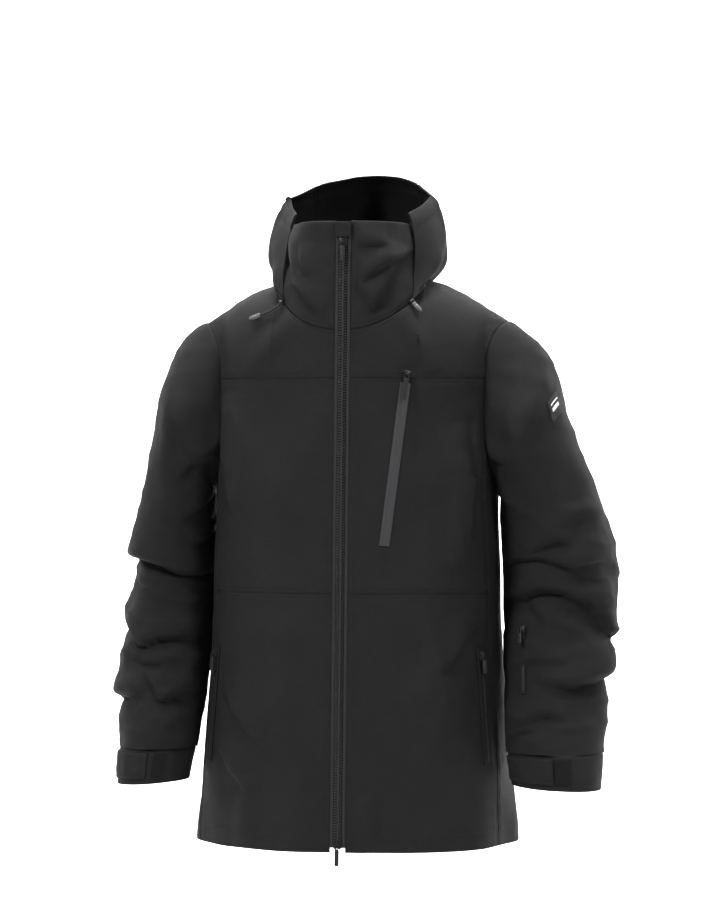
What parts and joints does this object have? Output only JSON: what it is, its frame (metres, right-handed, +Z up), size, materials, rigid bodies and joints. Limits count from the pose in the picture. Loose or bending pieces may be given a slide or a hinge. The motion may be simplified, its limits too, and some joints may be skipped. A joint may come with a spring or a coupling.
{
  "type": "ski jacket",
  "caption": "Insulated hooded ski jacket shaped as worn, with a two-way front zip, pocket zips, powder skirt and tabbed cuffs; sleeves, hood, sliders and tabs move.",
  "frame": {"origin": "middle of the neck opening at the height of the back neck seam", "axes": "+X to the wearer's left, the front faces -Y, +Z up from hem to collar"},
  "size_m": [0.6541, 0.382, 0.9014],
  "materials": {
    "shell": "matt woven, water-repellent",
    "lining": "smooth taffeta",
    "zip_tape": "coated tape",
    "zip_teeth": "moulded",
    "metal": "black enamel",
    "rubber": "moulded, ribbed",
    "badge": "woven",
    "cord": "braided",
    "cord_end": "moulded"
  },
  "bodies": {
    "jacket": {"back_panel": "shell", "back_yoke": "shell", "body_lining": "lining", "chest_pocket_bag": "lining", "chest_zip_tape": "zip_tape", "collar_left": "shell", "collar_right": "shell", "cord_end_left": "cord_end", "cord_end_right": "cord_end", "cord_eyelet_left": "metal", "cord_eyelet_right": "metal", "front_left_panel": "shell", "front_left_skirt": "shell", "front_left_yoke": "shell", "front_right_panel": "shell", "front_right_skirt": "shell", "front_right_yoke": "shell", "hand_pocket_bag_left": "lining", "hand_pocket_bag_right": "lining", "hand_zip_tape_left": "zip_tape", "hand_zip_tape_right": "zip_tape", "hanger_loop": "cord", "hood_cord_right": "cord", "main_zip_tape_left": "zip_tape", "main_zip_tape_right": "zip_tape", "main_zip_teeth_left": "zip_teeth", "main_zip_teeth_right": "zip_teeth", "powder_skirt": "lining", "powder_skirt_snap": "metal", "side_panel_left": "shell", "side_panel_right": "shell", "storm_flap": "shell", "zip_garage": "shell"},
    "hood": {"hood_centre_panel": "shell", "hood_side_left": "shell", "hood_side_right": "shell", "hood_adjuster": "rubber"},
    "sleeve_upper_left": {"sleeve_upper_left": "shell", "sleeve_badge": "badge"},
    "sleeve_upper_right": {"sleeve_upper_right": "shell"},
    "sleeve_lower_left": {"sleeve_lower_left": "shell", "cuff_left": "shell", "pass_zip_tape": "zip_tape"},
    "sleeve_lower_right": {"sleeve_lower_right": "shell", "cuff_right": "shell"},
    "cuff_tab_left": {"cuff_tab_left": "shell"},
    "cuff_tab_right": {"cuff_tab_right": "shell"},
    "main_top_slider": {"main_top_slider": "metal"},
    "main_top_pull": {"main_top_pull": "rubber"},
    "main_bottom_slider": {"main_bottom_slider": "metal"},
    "main_bottom_pull": {"main_bottom_pull": "rubber"},
    "chest_slider": {"chest_slider": "metal"},
    "chest_pull": {"chest_pull": "rubber"},
    "hand_left_slider": {"hand_left_slider": "metal"},
    "hand_left_pull": {"hand_left_pull": "rubber"},
    "hand_right_slider": {"hand_right_slider": "metal"},
    "hand_right_pull": {"hand_right_pull": "rubber"},
    "pass_slider": {"pass_slider": "metal"},
    "pass_pull": {"pass_pull": "rubber"}
  },
  "joints": [
    {"name": "hood_raise", "type": "hinge", "parent": "jacket", "child": "hood", "pos_m": [0, -0.09247, -0.02446], "axis": [1, 0, 0], "range_deg": [0, 60]},
    {"name": "shoulder_left", "type": "hinge", "parent": "jacket", "child": "sleeve_upper_left", "pos_m": [0.2, 0, -0.055], "axis": [0, -1, 0], "range_deg": [0, 50]},
    {"name": "elbow_left", "type": "hinge", "parent": "sleeve_upper_left", "child": "sleeve_lower_left", "pos_m": [0.26746, -0.0585, -0.4], "axis": [-1, 0, 0], "range_deg": [0, 60]},
    {"name": "cuff_tab_peel_left", "type": "hinge", "parent": "sleeve_lower_left", "child": "cuff_tab_left", "pos_m": [0.20999, -0.07802, -0.63175], "axis": [0.1657, -0.2152, -0.9624], "range_deg": [0, 75]},
    {"name": "shoulder_right", "type": "hinge", "parent": "jacket", "child": "sleeve_upper_right", "pos_m": [-0.2, 0, -0.055], "axis": [0, 1, 0], "range_deg": [0, 50]},
    {"name": "elbow_right", "type": "hinge", "parent": "sleeve_upper_right", "child": "sleeve_lower_right", "pos_m": [-0.24796, -0.0585, -0.4], "axis": [-1, 0, 0], "range_deg": [0, 60]},
    {"name": "cuff_tab_peel_right", "type": "hinge", "parent": "sleeve_lower_right", "child": "cuff_tab_right", "pos_m": [-0.25744, -0.12517, -0.63314], "axis": [0.0914, 0.1307, 0.9872], "range_deg": [0, 75]},
    {"name": "main_top_slide", "type": "slide", "parent": "jacket", "child": "main_top_slider", "axis": [0, -0.0609, -0.9981], "range_m": [0, 0.44]},
    {"name": "main_top_pull_swing", "type": "hinge", "parent": "main_top_slider", "child": "main_top_pull", "pos_m": [0, -0.12284, 0.04334], "axis": [-1, 0, 0], "range_deg": [0, 150]},
    {"name": "main_bottom_slide", "type": "slide", "parent": "jacket", "child": "main_bottom_slider", "axis": [0, 0.0609, 0.9981], "range_m": [0, 0.27]},
    {"name": "main_bottom_pull_swing", "type": "hinge", "parent": "main_bottom_slider", "child": "main_bottom_pull", "pos_m": [0, -0.16969, -0.72466], "axis": [-1, 0, 0], "range_deg": [0, 150]},
    {"name": "chest_slide", "type": "slide", "parent": "jacket", "child": "chest_slider", "axis": [-0.118, -0.0831, -0.9895], "range_m": [0, 0.195]},
    {"name": "chest_pull_swing", "type": "hinge", "parent": "chest_slider", "child": "chest_pull", "pos_m": [0.0842, -0.12746, -0.12755], "axis": [-0.9613, -0.2403, 0.1348], "range_deg": [0, 150]},
    {"name": "hand_left_slide", "type": "slide", "parent": "jacket", "child": "hand_left_slider", "axis": [0.0715, -0.0197, -0.9972], "range_m": [0, 0.125]},
    {"name": "hand_left_pull_swing", "type": "hinge", "parent": "hand_left_slider", "child": "hand_left_pull", "pos_m": [0.17829, -0.08484, -0.48844], "axis": [-0.7801, -0.6241, -0.0436], "range_deg": [0, 150]},
    {"name": "hand_right_slide", "type": "slide", "parent": "jacket", "child": "hand_right_slider", "axis": [-0.0715, -0.0197, -0.9972], "range_m": [0, 0.125]},
    {"name": "hand_right_pull_swing", "type": "hinge", "parent": "hand_right_slider", "child": "hand_right_pull", "pos_m": [-0.17829, -0.08484, -0.48844], "axis": [-0.7801, 0.6241, 0.0436], "range_deg": [0, 150]},
    {"name": "pass_slide", "type": "slide", "parent": "sleeve_lower_left", "child": "pass_slider", "axis": [0.0302, -0.3093, -0.9505], "range_m": [0, 0.068]},
    {"name": "pass_pull_swing", "type": "hinge", "parent": "pass_slider", "child": "pass_pull", "pos_m": [0.22137, -0.0641, -0.45493], "axis": [-0.8372, 0.5117, -0.1932], "range_deg": [0, 150]}
  ]
}
